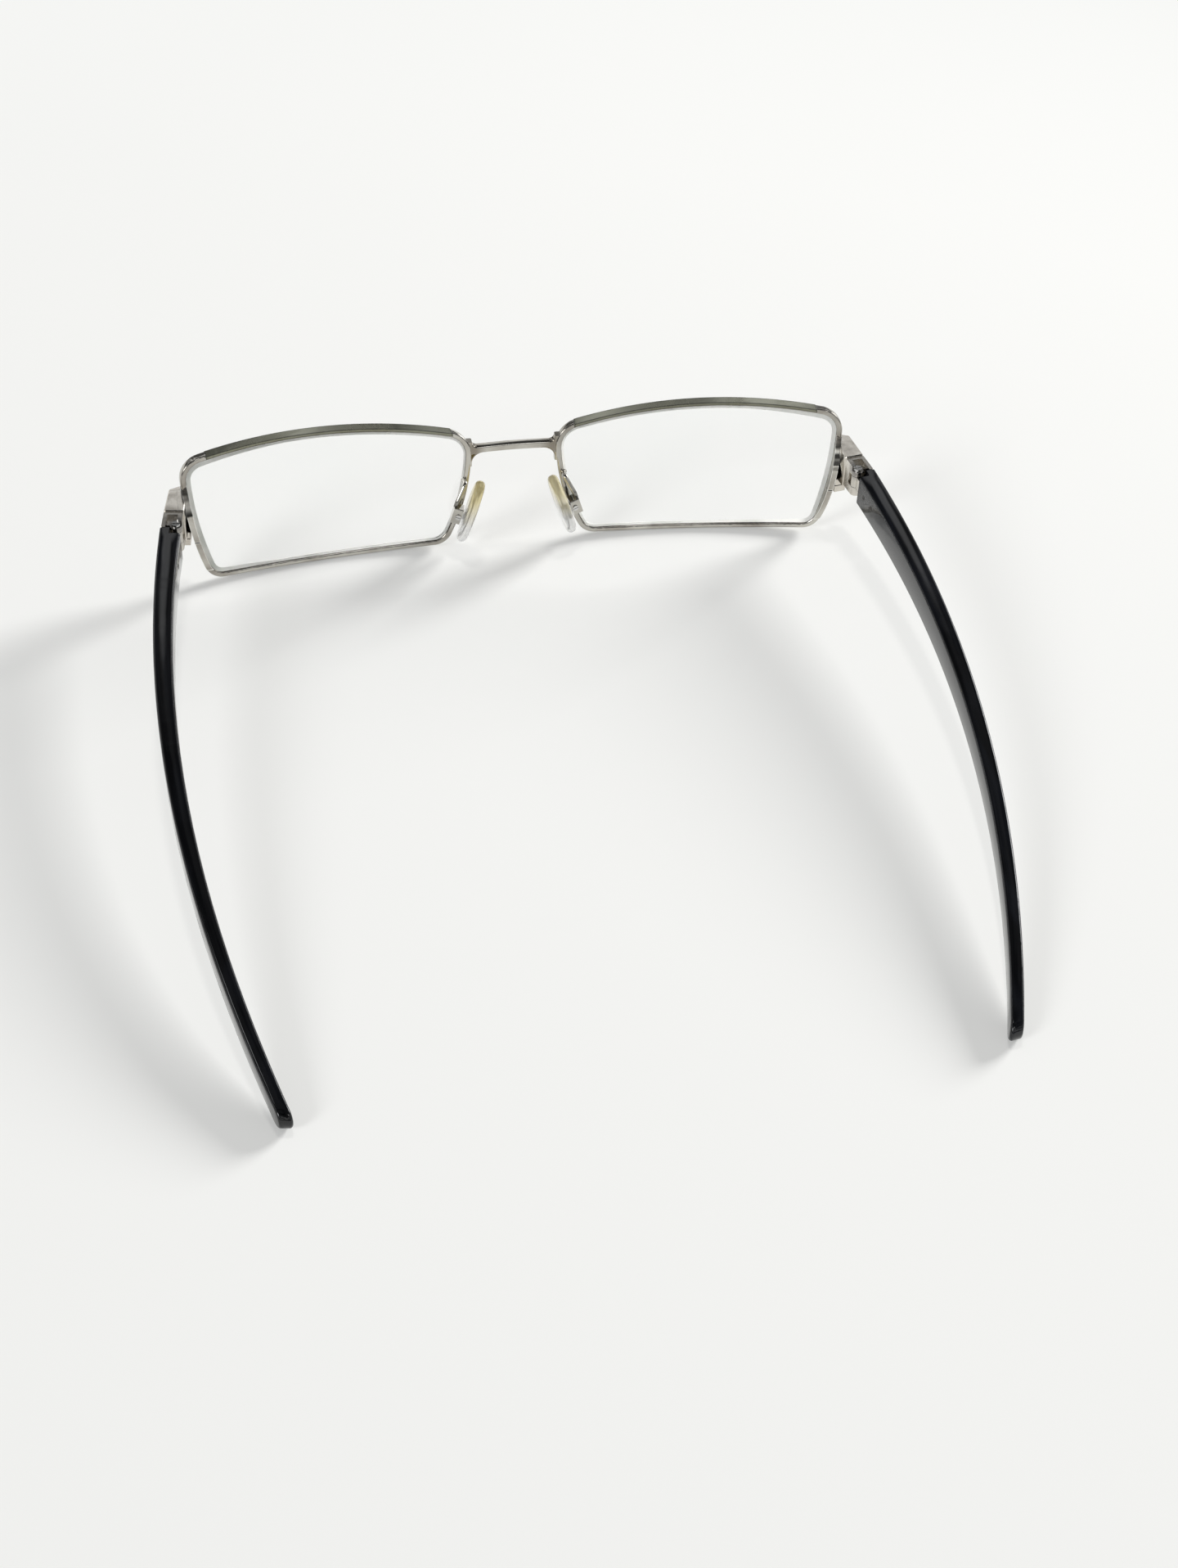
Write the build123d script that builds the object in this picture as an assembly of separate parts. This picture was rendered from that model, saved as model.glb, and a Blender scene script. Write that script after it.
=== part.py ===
from build123d import *
from math import cos, radians, sin, sqrt
import os

# Rectangular full-rim spectacles, open, standing on the lower rims and the temple tips.
# X runs to the wearer's left, Y from the front to the back, Z up. Millimetres and degrees.
# Every piece is drawn for the wearer's left side and mirrored for the right side.

# Front: driving sizes
rim_width = 55.5            # one rim, nose side to temple side, middle of the wire
rim_height = 26.6           # one rim, bottom to top, middle of the wire
rim_gap = 18.1              # between the two rims at the nose, middle of the wire
wire_width = 1.1            # rim wire seen from the front
wire_depth = 2.0            # rim wire from front to back
wire_round = 0.3            # rounding of the wire's long edges
side_depth = 1.9            # how much deeper the wire gets at the temple side
side_top = 8.0              # its deeper part reaches this far above the rim's middle
side_bottom = 11.2          # and this far below it
side_deepest = -0.6         # height of its deepest point
side_reach = 6.5            # how far inward the deeper part may follow the round corners
base_radius = 130.0         # curve of the lenses and of the rims that follow them
pantoscopic_tilt = 9.4      # the top of the front leans forward
face_wrap = 6.0             # the temple sides of the front lie further back
overrun = 2.0               # how far every cutting solid runs past what it cuts

# Rim outline: corners and middles of its four sides, as shares of the rim's width and height
corner_shares = ((0.0, 0.855), (1.0, 0.938), (0.936, 0.025), (0.102, 0.018))
middle_shares = ((0.511, 1.0), (0.991, 0.500), (0.520, 0.0), (0.018, 0.447))
corner_radii = (4.6, 4.0, 3.4, 3.6)

# Lens and its groove
lens_thickness = 1.6
groove_depth = 0.45         # depth of the groove inside the rim
groove_width = 0.8
lens_play = 0.03            # clearance between the lens and its rim

# Brow bar: a darker strip let into the top of each rim
brow_thickness = 0.6
brow_depth = 2.6            # front to back, so it stands proud of the wire at its back
brow_start_share = 0.055    # its nose end, as a share of the rim's width
brow_end_share = 0.915      # its temple end

# Bridge bar
bridge_height = 1.4
bridge_depth = 1.6          # front to back
bridge_level = 20.45        # its middle above the table
bridge_arch = 0.25          # how much higher its middle is
bridge_flare = 2.9          # how far its ends run down along the rims
bridge_rise = 1.3           # how far its ends run up along the rims
bridge_lip = 0.3            # how far those ends stand out from the rims where they are thinnest
bridge_knee = 2.4           # hollow corner under each end
bridge_crook = 1.1          # hollow corner above each end
bridge_round = 0.3          # rounding of its long edges

# End piece: the block that carries the hinge, level with the hinge
hinge_level = 16.0          # middle of the hinge above the table
hinge_outset = 1.75         # hinge pin outward of the rim's wire
hinge_setback = 7.9         # hinge pin behind the rim's wire
splay = 9.2                 # the open temples point outward
block_height = 6.2          # height of the front hinge
block_inner = 1.1           # hinge pin to the block's inner face
block_outer = 2.55          # hinge pin to the block's outer face
block_front = 3.15          # hinge pin to the face on the end piece
block_back = 1.5            # hinge pin to the face at the temple
end_piece_rise = -0.1       # the end piece stands this much above the front hinge
end_piece_inner = 1.25      # hinge pin to its inner face
end_piece_front = 10.4      # hinge pin to its front face
end_piece_nose = 2.2        # width outward of the pin at its front face
end_piece_corner = 1.1      # length of its slanted front outer corner
end_piece_slant = 2.1       # width of that corner
end_piece_slope = 0.7       # its top rises this much to the front
end_piece_height = 7.0
block_round = 0.3
joint_chamfer = 0.2         # the fine line between the end piece and the front hinge

# Rim lock: the split block that closes the rim on its lens, under the end piece
lock_drop = 5.3             # its slit below the middle of the hinge
lock_inner = 1.4            # hinge pin to its inner side, before the rim is cut from it
lock_outer = 0.9            # hinge pin to its outer side
lock_front = 8.7            # hinge pin to its front
lock_length = 2.7
lock_height = 3.0
lock_slit = 0.2
lock_screw_radius = 0.42
lock_head_radius = 0.62
lock_head_height = 0.4
lock_wall = 0.2             # wall between the screw's head and its outer side

# Hinge
knuckle_radius = 1.1
tongue_height = 2.4
tongue_play = 0.1           # clearance above and below the tongue
top_ear_height = 1.0
pin_radius = 0.5
pin_play = 0.03             # running clearance round the pin
screw_head_radius = 0.82
screw_head_height = 0.5
screw_slot_width = 0.22
screw_slot_depth = 0.25
outer_wall = 0.75           # wall of the front hinge outside the knuckles
rib_width = 0.9             # rib of the front hinge beside the screw head
rib_back = 0.3              # its end in front of the pin
butt_gap = 0.3              # open gap between the front hinge and the temple
web_thickness = 1.1         # flat web between the tongue and the leaf
leaf_thickness = 0.8        # leaf let into the temple
leaf_length = 8.6
notch_length = 1.6          # notch in the temple's inner front corner
notch_width = 2.15
rivet_radius = 0.5
rivet_length = 2.0
rivet_spacing = 3.6

# Temple
temple_reach = 128.2        # hinge pin to the centre of the rounded tip
temple_curve = 296.0        # bow of the temple seen from above
temple_inner = 1.2          # hinge pin to its inner face at the front
front_width = 4.0
middle_width = 3.1
tip_width = 2.4
front_height = 6.4
tip_radius = 2.1            # half the height of the tip
front_slope = 4.0           # fall of the front part
tip_slope = 13.0            # fall of the tip
front_hold_share = 0.45     # how long the front part keeps its direction
tip_hold_share = 0.2        # how long the tip keeps its direction
waist = 0.55                # how much slimmer the middle is, above and below
temple_round = 0.5

# Core wire inside the temple
core_width = 1.0
core_height = 1.5
core_start = 13.5           # hinge pin to its front end
core_end = 122.0

# Nose pads and their arms
pad_pivot_x = 11.5
pad_pivot_back = 2.9        # pad screw behind the middle of the rim at the nose side
pad_pivot_level = 8.6
pad_flare = 17.5            # the pads stand closer together at the top
pad_splay = 11.0            # the pads face backward
pad_length = 14.2
pad_width = 6.6
pad_thickness = 1.9
pad_round = 0.85            # rounding of both of its rims
pad_offset = 1.15           # pad screw to the pad
pad_lift = 1.4              # pad screw to the pad's middle, along the pad
box_length = 3.4
box_width = 2.4
box_front = 0.65            # pad screw to the mouth of the box
box_rear = 1.25
box_slot_width = 1.1
box_slot_length = 2.6
box_slot_depth = 0.75
box_round = 0.25
stud_thickness = 0.9
stud_radius = 0.62
stud_play = 0.04
pad_screw_radius = 0.36
pad_screw_head_radius = 0.55
pad_screw_head_height = 0.25
flange_radius = 1.7
flange_thickness = 0.4
flange_inset = 0.45         # depth of the flange inside the pad
arm_radius = 0.48
arm_level = 14.0            # where the arm leaves the rim
arm_out = 1.5               # how far it runs back from the rim
arm_bend = 0.9


# Frames
def lens_frame(level):
    """The plane of a rim: X to the temple side, Y up, Z forward out of the lens."""
    wrap = radians(face_wrap)
    tilt = radians(pantoscopic_tilt)
    across = Vector(cos(wrap), sin(wrap), 0)
    forward = Vector(sin(wrap) * cos(tilt), -cos(wrap) * cos(tilt), -sin(tilt))
    return Plane(origin=(rim_gap / 2 + rim_width / 2, 0, level), x_dir=across, z_dir=forward)


def sag(across, up):
    """How far the curved lens lies behind its own front point."""
    return sqrt(base_radius ** 2 - across ** 2 - up ** 2) - base_radius


# Rim outline and its shells
def outline_points(shares):
    return [((s - 0.5) * rim_width, (t - 0.5) * rim_height) for s, t in shares]


def circle_through(first, middle, last):
    """Centre and radius of the circle through three points."""
    ax, ay = middle[0] - first[0], middle[1] - first[1]
    bx, by = last[0] - first[0], last[1] - first[1]
    twice = 2 * (ax * by - ay * bx)
    a2, b2 = ax ** 2 + ay ** 2, bx ** 2 + by ** 2
    cx, cy = (by * a2 - ay * b2) / twice, (ax * b2 - bx * a2) / twice
    return (first[0] + cx, first[1] + cy), sqrt(cx ** 2 + cy ** 2)


def rim_outline(grow=0):
    """The rim's middle line, or a line beside it: four shallow arcs and four round corners."""
    corners = outline_points(corner_shares)
    middles = outline_points(middle_shares)
    face = None
    for i, corner in enumerate(corners):
        centre, radius = circle_through(corner, middles[i], corners[(i + 1) % len(corners)])
        disc = Pos(*centre) * Circle(radius + grow)
        face = disc if face is None else face & disc
    for corner, radius in zip(corners, corner_radii):
        nearest = min(face.vertices(), key=lambda v: (v.center() - Vector(*corner)).length)
        face = fillet(nearest, radius + grow)
    return face


def rim_prism(frame, grow):
    return extrude(frame * rim_outline(grow), amount=rim_height / 2, both=True)


def curved_shell(frame, thickness, back_shift=0):
    """A thick shell on the lens curve, its middle moved back by back_shift."""
    centre = frame.from_local_coords(Vector(0, 0, -base_radius))
    middle = base_radius - back_shift
    return Pos(centre) * (Sphere(middle + thickness / 2) - Sphere(middle - thickness / 2))


def wire_walls(frame):
    return rim_prism(frame, wire_width / 2) - rim_prism(frame, -wire_width / 2)


def plain_ring(frame):
    """The rounded wire before its cuts, drawn on its own plane and then set in place."""
    ring = wire_walls(Plane.XY) & curved_shell(Plane.XY, wire_depth)
    ring = fillet(ring.edges().filter_by(GeomType.LINE, reverse=True), wire_round)
    return frame.location * (ring + side_swell())


def side_swell():
    """The deeper part of the wire at the temple side; its ends lie inside the wire."""
    side = rim_width / 2
    ends = [(up, sag(side, up) - wire_depth / 4) for up in (-side_bottom, side_top)]
    deepest = (side_deepest, sag(side, side_deepest) - wire_depth / 2 - side_depth)
    face = make_face([ThreePointArc(ends[0], deepest, ends[1]), Line(ends[1], ends[0])])
    view = Plane(origin=(side - side_reach, 0, 0), x_dir=(0, 1, 0), z_dir=(1, 0, 0))
    return wire_walls(Plane.XY) & extrude(view * face, amount=side_reach + overrun)


def brow_zone(frame):
    """The space above the rim's middle between the brow bar's two ends."""
    start = (brow_start_share - 0.5) * rim_width
    end = (brow_end_share - 0.5) * rim_width
    block = Box(end - start, rim_height, rim_height, align=(Align.MIN, Align.MIN, Align.CENTER))
    return frame * Pos(start, 0, 0) * block


def brow_seat(frame, grow):
    """The room that the brow bar takes at the outside of the rim."""
    return (rim_prism(frame, grow) - rim_prism(frame, wire_width / 2 - brow_thickness)) & brow_zone(frame)


def brow_bar(frame):
    proud = (brow_depth - wire_depth) / 2
    return brow_seat(frame, wire_width / 2) & curved_shell(frame, brow_depth, proud)


def rim(frame, ring):
    groove = rim_prism(frame, groove_depth - wire_width / 2)
    groove &= curved_shell(frame, groove_width)
    wire = ring - groove - brow_seat(frame, wire_width)
    slit = span_box(-lock_inner - overrun, lock_outer, -lock_front - overrun, overrun - block_front,
                    lock_level - lock_slit / 2, lock_level + lock_slit / 2)
    return wire - on_hinge(slit)


def lens(frame):
    disc = rim_prism(frame, -wire_width / 2 - lens_play) & curved_shell(frame, lens_thickness)
    bevel = rim_prism(frame, groove_depth - wire_width / 2 - lens_play)
    bevel &= curved_shell(frame, groove_width - 2 * lens_play)
    return disc + bevel


# Bridge
def bridge(frame, fillings):
    half = rim_gap / 2 + wire_width / 2
    neck = rim_gap / 2 - wire_width / 2 - bridge_lip
    low = bridge_level - bridge_height / 2
    high = bridge_level + bridge_height / 2
    foot = low - bridge_flare
    peak = high + bridge_rise
    top = ThreePointArc((-neck, high), (0, high + bridge_arch), (neck, high))
    right = Polyline((neck, high), (neck, peak), (half, peak), (half, foot), (neck, foot), (neck, low))
    bottom = ThreePointArc((neck, low), (0, low + bridge_arch), (-neck, low))
    left = Polyline((-neck, low), (-neck, foot), (-half, foot), (-half, peak), (-neck, peak),
                    (-neck, high))
    profile = make_face(top.edges() + right.edges() + bottom.edges() + left.edges())
    for level, radius in ((low, bridge_knee), (high, bridge_crook)):
        inner = [v for v in profile.vertices() if abs(v.Y - level) < bridge_arch and abs(v.X) < half]
        profile = fillet(inner, radius)
    facing = Plane(origin=(0, bridge_middle(frame), 0), x_dir=(1, 0, 0), z_dir=(0, -1, 0))
    bar = extrude(facing * profile, amount=bridge_depth / 2, both=True)
    long_edges = [e for e in bar.edges().filter_by(Axis.Y, reverse=True) if abs(e.center().X) < neck]
    bar = fillet(long_edges, bridge_round)
    for filling in fillings:
        bar -= filling
    return bar


def bridge_middle(frame):
    """Depth of the rim's wire at the nose side, level with the bridge."""
    up = (bridge_level - frame.origin.Z) / cos(radians(pantoscopic_tilt))
    across = -rim_width / 2
    return frame.from_local_coords(Vector(across, up, sag(across, up))).Y


# Hinge frame: X outward, Y back along the temple, origin on the pin, Z from the table
def hinge_place():
    frame = standing_frame()
    up = (hinge_level - frame.origin.Z) / cos(radians(pantoscopic_tilt))
    across = rim_width / 2
    side = frame.from_local_coords(Vector(across, up, sag(across, up)))
    return Vector(rim_gap / 2 + rim_width + hinge_outset, side.Y + hinge_setback, 0)


def on_hinge(shape):
    turn = radians(splay)
    frame = Plane(origin=hinge_place(), x_dir=(cos(turn), -sin(turn), 0), z_dir=(0, 0, 1))
    return frame * shape


def span_box(left, right, front, back, low, high):
    box = Box(right - left, back - front, high - low, align=(Align.MIN, Align.MIN, Align.MIN))
    return Pos(left, front, low) * box


def upright(radius, low, high):
    return Pos(0, 0, low) * Cylinder(radius, high - low, align=(Align.CENTER, Align.CENTER, Align.MIN))


block_low = hinge_level - block_height / 2
block_high = hinge_level + block_height / 2
tongue_low = hinge_level - tongue_height / 2
tongue_high = hinge_level + tongue_height / 2
ear_top = tongue_high + tongue_play + top_ear_height
web_end = block_back + butt_gap + notch_length
lock_level = hinge_level - lock_drop
lock_low = lock_level - lock_height / 2
lock_high = lock_level + lock_height / 2


# End piece and rim lock
def end_piece(filling):
    shoulder = end_piece_front - end_piece_corner
    plan = make_face(Polyline((-end_piece_inner, -end_piece_front),
                              (end_piece_nose - end_piece_slant, -end_piece_front),
                              (end_piece_nose, -shoulder), (block_outer, -block_front),
                              (-end_piece_inner, -block_front), close=True))
    low = hinge_level - end_piece_height / 2 + end_piece_rise
    high = low + end_piece_height
    side = make_face(Polyline((-end_piece_front, low), (-end_piece_front, high + end_piece_slope),
                              (-block_front, high), (-block_front, low), close=True))
    side = Plane(origin=(-end_piece_inner, 0, 0), x_dir=(0, 1, 0), z_dir=(1, 0, 0)) * side
    block = extrude(plan, amount=high + overrun) & extrude(side, amount=end_piece_inner + block_outer)
    outer = [e for e in block.edges().filter_by(Axis.Z) if e.center().X > block_inner / 2 or
             e.center().Y < -shoulder]
    block = fillet(outer, block_round)
    back_edges = [e for e in block.edges() if abs(e.center().Y + block_front) < joint_chamfer / 4]
    block = chamfer(back_edges, joint_chamfer)
    return on_hinge(block) - filling


def lock_axis():
    """Middle of the lock screw, seen from above in the hinge frame."""
    return Vector(lock_outer - lock_wall - lock_head_radius, lock_length / 2 - lock_front)


def lock_halves(filling):
    hole = Pos(lock_axis()) * upright(lock_screw_radius, lock_low - overrun, lock_high + overrun)
    head = Pos(lock_axis()) * upright(lock_head_radius, lock_low - overrun, lock_low + lock_head_height)
    halves = []
    for low, high in ((lock_level + lock_slit / 2, lock_high), (lock_low, lock_level - lock_slit / 2)):
        halves.append(span_box(-lock_inner, lock_outer, -lock_front, lock_length - lock_front, low, high))
    return on_hinge(halves[0] - hole) - filling, on_hinge(halves[1] - hole - head) - filling


def lock_screw():
    shank = upright(lock_screw_radius, lock_low, lock_high)
    head = upright(lock_head_radius, lock_low, lock_low + lock_head_height)
    slot = span_box(-lock_head_radius, lock_head_radius, -screw_slot_width / 2, screw_slot_width / 2,
                    lock_low - overrun, lock_low + screw_slot_depth)
    return on_hinge(Pos(lock_axis()) * (shank + head - slot))


# Hinge
def front_hinge():
    wall_left = block_outer - outer_wall
    knuckle_front = -knuckle_radius - 2 * tongue_play
    body = span_box(-block_inner, wall_left, -block_front, knuckle_front, block_low, block_high)
    body += span_box(wall_left, block_outer, -block_front, block_back, block_low, block_high)
    for low, high in ((block_low, tongue_low - tongue_play), (tongue_high + tongue_play, ear_top)):
        body += span_box(-block_inner, wall_left, -block_front, 0, low, high)
        body += upright(knuckle_radius, low, high)
    body += span_box(-block_inner, rib_width - block_inner, -block_front, -rib_back, ear_top, block_high)
    body -= span_box(rib_width - block_inner, wall_left, -block_front + outer_wall, block_back + overrun,
                     ear_top, block_high + overrun)
    body -= upright(pin_radius, block_low - overrun, block_high)
    body -= upright(screw_head_radius, ear_top, block_high + overrun)
    upright_edges = body.edges().filter_by(Axis.Z)
    outer_edges = [e for e in upright_edges if e.center().X > block_outer - joint_chamfer / 4]
    body = fillet(outer_edges, joint_chamfer)
    return on_hinge(body)


def hinge_screw():
    shank = upright(pin_radius, block_low, ear_top)
    head = upright(screw_head_radius, ear_top, ear_top + screw_head_height)
    slot = span_box(-screw_head_radius, screw_head_radius, -screw_slot_width / 2, screw_slot_width / 2,
                    ear_top + screw_head_height - screw_slot_depth, ear_top + screw_head_height + overrun)
    return on_hinge(shank + head - slot)


def hinge_tongue():
    piece = upright(knuckle_radius, tongue_low, tongue_high)
    piece += span_box(-web_thickness / 2, web_thickness / 2, 0, web_end, tongue_low, tongue_high)
    return piece - upright(pin_radius + pin_play, tongue_low - overrun, tongue_high + overrun)


def hinge_leaf():
    right = web_thickness / 2
    left = right - leaf_thickness
    return span_box(left, right, web_end, web_end + leaf_length, tongue_low, tongue_high)


def temple_hinge():
    piece = hinge_tongue() + hinge_leaf()
    return on_hinge(piece - rivets())


def rivet_centres():
    first = web_end + leaf_length / 2 - rivet_spacing / 2
    level = hinge_level - tongue_play
    return [(first, level), (first + rivet_spacing, level)]


def rivets():
    group = []
    for back, level in rivet_centres():
        pin = Cylinder(rivet_radius, rivet_length, align=(Align.CENTER, Align.CENTER, Align.MIN))
        across = Plane(origin=(rivet_face(back), back, level), x_dir=(0, 1, 0), z_dir=(1, 0, 0))
        group.append(across * pin)
    return Part() + group


def rivet_face(back):
    """Inner face of the temple at a distance back from the pin."""
    return -temple_inner - bow(back)


# Temple
def bow(back):
    """How far the curved temple lies inward of its straight front direction."""
    return temple_curve - sqrt(temple_curve ** 2 - back ** 2)


def plan_band(start, end, widths, middle):
    """A band seen from above along the temple's bow, with three widths from front to tip."""
    stations = (start, (start + end) / 2, end)
    inner = [(middle - bow(b) - w / 2, b) for b, w in zip(stations, widths)]
    outer = [(middle - bow(b) + w / 2, b) for b, w in zip(stations, widths)]
    ends = [Line(outer[2], inner[2]), Line(inner[0], outer[0])]
    return make_face([ThreePointArc(*outer), ThreePointArc(*inner)] + ends)


def side_curve(start, front_z, pinch, tip_offset):
    """One long edge of the temple seen from the side, from its front end to the tip."""
    front_dir = Vector(cos(radians(front_slope)), -sin(radians(front_slope)))
    tip_dir = Vector(cos(radians(tip_slope)), -sin(radians(tip_slope)))
    up = Vector(sin(radians(tip_slope)), cos(radians(tip_slope)))
    first = Vector(start, front_z)
    last = Vector(temple_reach, tip_radius) + up * tip_offset
    hold = front_hold_share * temple_reach
    second = first + front_dir * hold - Vector(0, pinch)
    third = last - tip_dir * (tip_hold_share * temple_reach)
    return Bezier(first, second, third, last)


def side_band(start, height, pinch, tip_half):
    top = side_curve(start, hinge_level + height / 2, pinch, tip_half)
    bottom = side_curve(start, hinge_level - height / 2, -pinch, -tip_half)
    nose = Vector(temple_reach, tip_radius) + (top % 1) * tip_half
    tip = ThreePointArc(top @ 1, nose, bottom @ 1)
    return make_face([top, tip, bottom, Line(bottom @ 0, top @ 0)])


def side_extrusion(face):
    """A face drawn in the side view, run across the whole bow of the temple."""
    view = Plane(origin=(-bow(temple_reach) - overrun, 0, 0), x_dir=(0, 1, 0), z_dir=(1, 0, 0))
    return extrude(view * face, amount=bow(temple_reach) + front_width + 2 * overrun)


def temple_blank():
    start = block_back + butt_gap
    middle = front_width / 2 - temple_inner
    end = temple_reach + tip_radius + overrun
    plan = plan_band(start, end, (front_width, middle_width, tip_width), middle)
    side = side_band(start, front_height, waist, tip_radius)
    return extrude(plan, amount=block_high + overrun) & side_extrusion(side)


def core_wire():
    middle = front_width / 2 - temple_inner
    width = (core_width, core_width, core_width)
    plan = plan_band(core_start, core_end, width, middle)
    side = side_band(block_back + butt_gap, core_height, 0, core_height / 2)
    return extrude(plan, amount=block_high) & side_extrusion(side)


def temple():
    blank = temple_blank()
    start = block_back + butt_gap
    long_edges = [e for e in blank.edges() if e.center().Y > start + temple_round]
    blank = fillet(long_edges, temple_round)
    notch = span_box(-temple_inner - overrun, notch_width - temple_inner,
                     start - overrun, start + notch_length, 0, block_high + overrun)
    return on_hinge(blank - notch - hinge_leaf() - rivets() - core_wire())


# Nose pads
def pad_frame():
    """Origin on the pad screw: X up along the pad, Y back along the screw, Z to the nose."""
    flare = radians(pad_flare)
    turn = radians(pad_splay)
    along = Vector(-sin(flare), 0, cos(flare))
    inward = Vector(-cos(flare), 0, -sin(flare))
    back = Vector(0, 1, 0)
    facing = inward * cos(turn) + back * sin(turn)
    frame = standing_frame()
    up = (pad_pivot_level - frame.origin.Z) / cos(radians(pantoscopic_tilt))
    side = frame.from_local_coords(Vector(-rim_width / 2, up, sag(-rim_width / 2, up)))
    pivot = (pad_pivot_x, side.Y + pad_pivot_back, pad_pivot_level)
    return Plane(origin=pivot, x_dir=along, z_dir=facing)


def along_screw(radius, front, back):
    pin = Cylinder(radius, back - front, align=(Align.CENTER, Align.CENTER, Align.MIN))
    return Plane(origin=(0, front, 0), x_dir=(1, 0, 0), z_dir=(0, 1, 0)) * pin


def centred_box(length, width, low, high):
    return span_box(-length / 2, length / 2, -width / 2, width / 2, low, high)


def pad_box():
    box = centred_box(box_length, box_width, -box_rear, box_front)
    box = fillet(box.edges().filter_by(Axis.Z), box_round)
    box -= centred_box(box_slot_length, box_slot_width, -box_slot_depth, box_front + overrun)
    box -= along_screw(pad_screw_radius, -box_width, box_width)
    return pad_frame() * box


def pad_screw():
    half = box_width / 2
    pin = along_screw(pad_screw_radius, -half, half)
    head = along_screw(pad_screw_head_radius, half, half + pad_screw_head_height)
    slot = span_box(-screw_slot_width / 2, screw_slot_width / 2,
                    half + pad_screw_head_height / 2, half + overrun,
                    -pad_screw_head_radius, pad_screw_head_radius)
    return pad_frame() * (pin + head - slot)


def pad_stud_shape():
    half = stud_thickness / 2
    stud = along_screw(stud_radius, -half, half)
    stud += centred_box(2 * stud_radius, stud_thickness, 0, pad_offset + flange_inset)
    disc = Cylinder(flange_radius, flange_thickness, align=(Align.CENTER, Align.CENTER, Align.MIN))
    stud += Pos(0, 0, pad_offset + flange_inset) * disc
    return stud - along_screw(pad_screw_radius + stud_play, -half - overrun, half + overrun)


def pad_stud():
    return pad_frame() * pad_stud_shape()


def nose_pad():
    face = Pos(pad_lift, 0, pad_offset) * Ellipse(pad_length / 2, pad_width / 2)
    pad = extrude(face, amount=pad_thickness)
    pad = fillet(pad.edges().filter_by(GeomType.LINE, reverse=True), pad_round)
    return pad_frame() * (pad - pad_stud_shape())


def pad_arm(slab, box):
    frame = standing_frame()
    up = (arm_level - frame.origin.Z) / cos(radians(pantoscopic_tilt))
    across = (middle_shares[3][0] - 0.5) * rim_width
    root = frame.from_local_coords(Vector(across, up, sag(across, up)))
    back = Vector(0, 1, 0)
    start = root + back * (wire_depth / 2 - wire_round)
    knee = root + back * (wire_depth / 2 + arm_out)
    pads = pad_frame()
    depth = -box_slot_depth - arm_radius / 2
    inside = pads.from_local_coords(Vector(box_length / 2 - box_round, 0, depth))
    above = pads.from_local_coords(Vector(box_length / 2 + arm_bend, 0, depth))
    path = FilletPolyline(start, knee, above, inside, radius=arm_bend)
    arm = sweep(Plane(origin=path @ 0, z_dir=path % 0) * Circle(arm_radius), path=path)
    return arm - slab - box


# Floor: the rim's lowest point stands on the table
def standing_frame():
    return lens_frame(rim_middle_level)


def lowest_rim_point():
    return plain_ring(lens_frame(0)).bounding_box().min.Z


rim_middle_level = -lowest_rim_point()


# Assembly
shared_names = ("rim_lock_screw", "hinge_screw", "pad_screw")


def left_side():
    frame = standing_frame()
    ring = plain_ring(frame)
    filling = rim_prism(frame, wire_width / 2)
    slab = filling & curved_shell(frame, wire_depth)
    upper_lock, lower_lock = lock_halves(filling)
    box = pad_box()
    arm = pad_arm(slab, box)
    pieces = {
        "rim": rim(frame, ring),
        "brow_bar": brow_bar(frame),
        "lens": lens(frame),
        "end_piece": end_piece(filling),
        "rim_lock_upper": upper_lock,
        "rim_lock_lower": lower_lock,
        "rim_lock_screw": lock_screw(),
        "front_hinge": front_hinge(),
        "hinge_screw": hinge_screw(),
        "temple_hinge": temple_hinge(),
        "hinge_rivets": on_hinge(rivets()),
        "temple": temple(),
        "temple_core": on_hinge(core_wire()),
        "pad_arm": arm,
        "pad_box": box,
        "pad_screw": pad_screw(),
        "pad_stud": pad_stud(),
        "nose_pad": nose_pad(),
    }
    return pieces


def assembly():
    nodes = {}
    for name, piece in left_side().items():
        other = mirror(piece, about=Plane.YZ)
        if name in shared_names:
            nodes[name + "s"] = Part() + [piece, other]
        else:
            nodes["left_" + name] = piece
            nodes["right_" + name] = other
    filling = rim_prism(standing_frame(), wire_width / 2)
    nodes["bridge"] = bridge(standing_frame(), (filling, mirror(filling, about=Plane.YZ)))
    return nodes


def report_places(shift):
    pads = pad_frame()
    print("hinge pin", tuple(hinge_place() + shift))
    print("pad screw", tuple(pads.origin + shift), "axis", tuple(pads.y_dir))
    print("shift", tuple(shift), "rim middle level", rim_middle_level)


os.makedirs("parts", exist_ok=True)
parts = assembly()
whole = Compound(children=[solid for piece in parts.values() for solid in piece.solids()]).bounding_box()
to_origin = Vector(0, -(whole.min.Y + whole.max.Y) / 2, -whole.min.Z)
for node, piece in parts.items():
    export_step(Pos(to_origin) * Compound(piece.solids()), "parts/" + node + ".step")
report_places(to_origin)
print("overall", tuple(whole.size))
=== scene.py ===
"""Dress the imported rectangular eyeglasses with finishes, small trim, studio light and a camera."""

import logging
import math
from dataclasses import dataclass, field
from enum import Enum
from typing import Optional, Sequence

import bmesh
import bpy
from mathutils import Matrix, Vector


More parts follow.
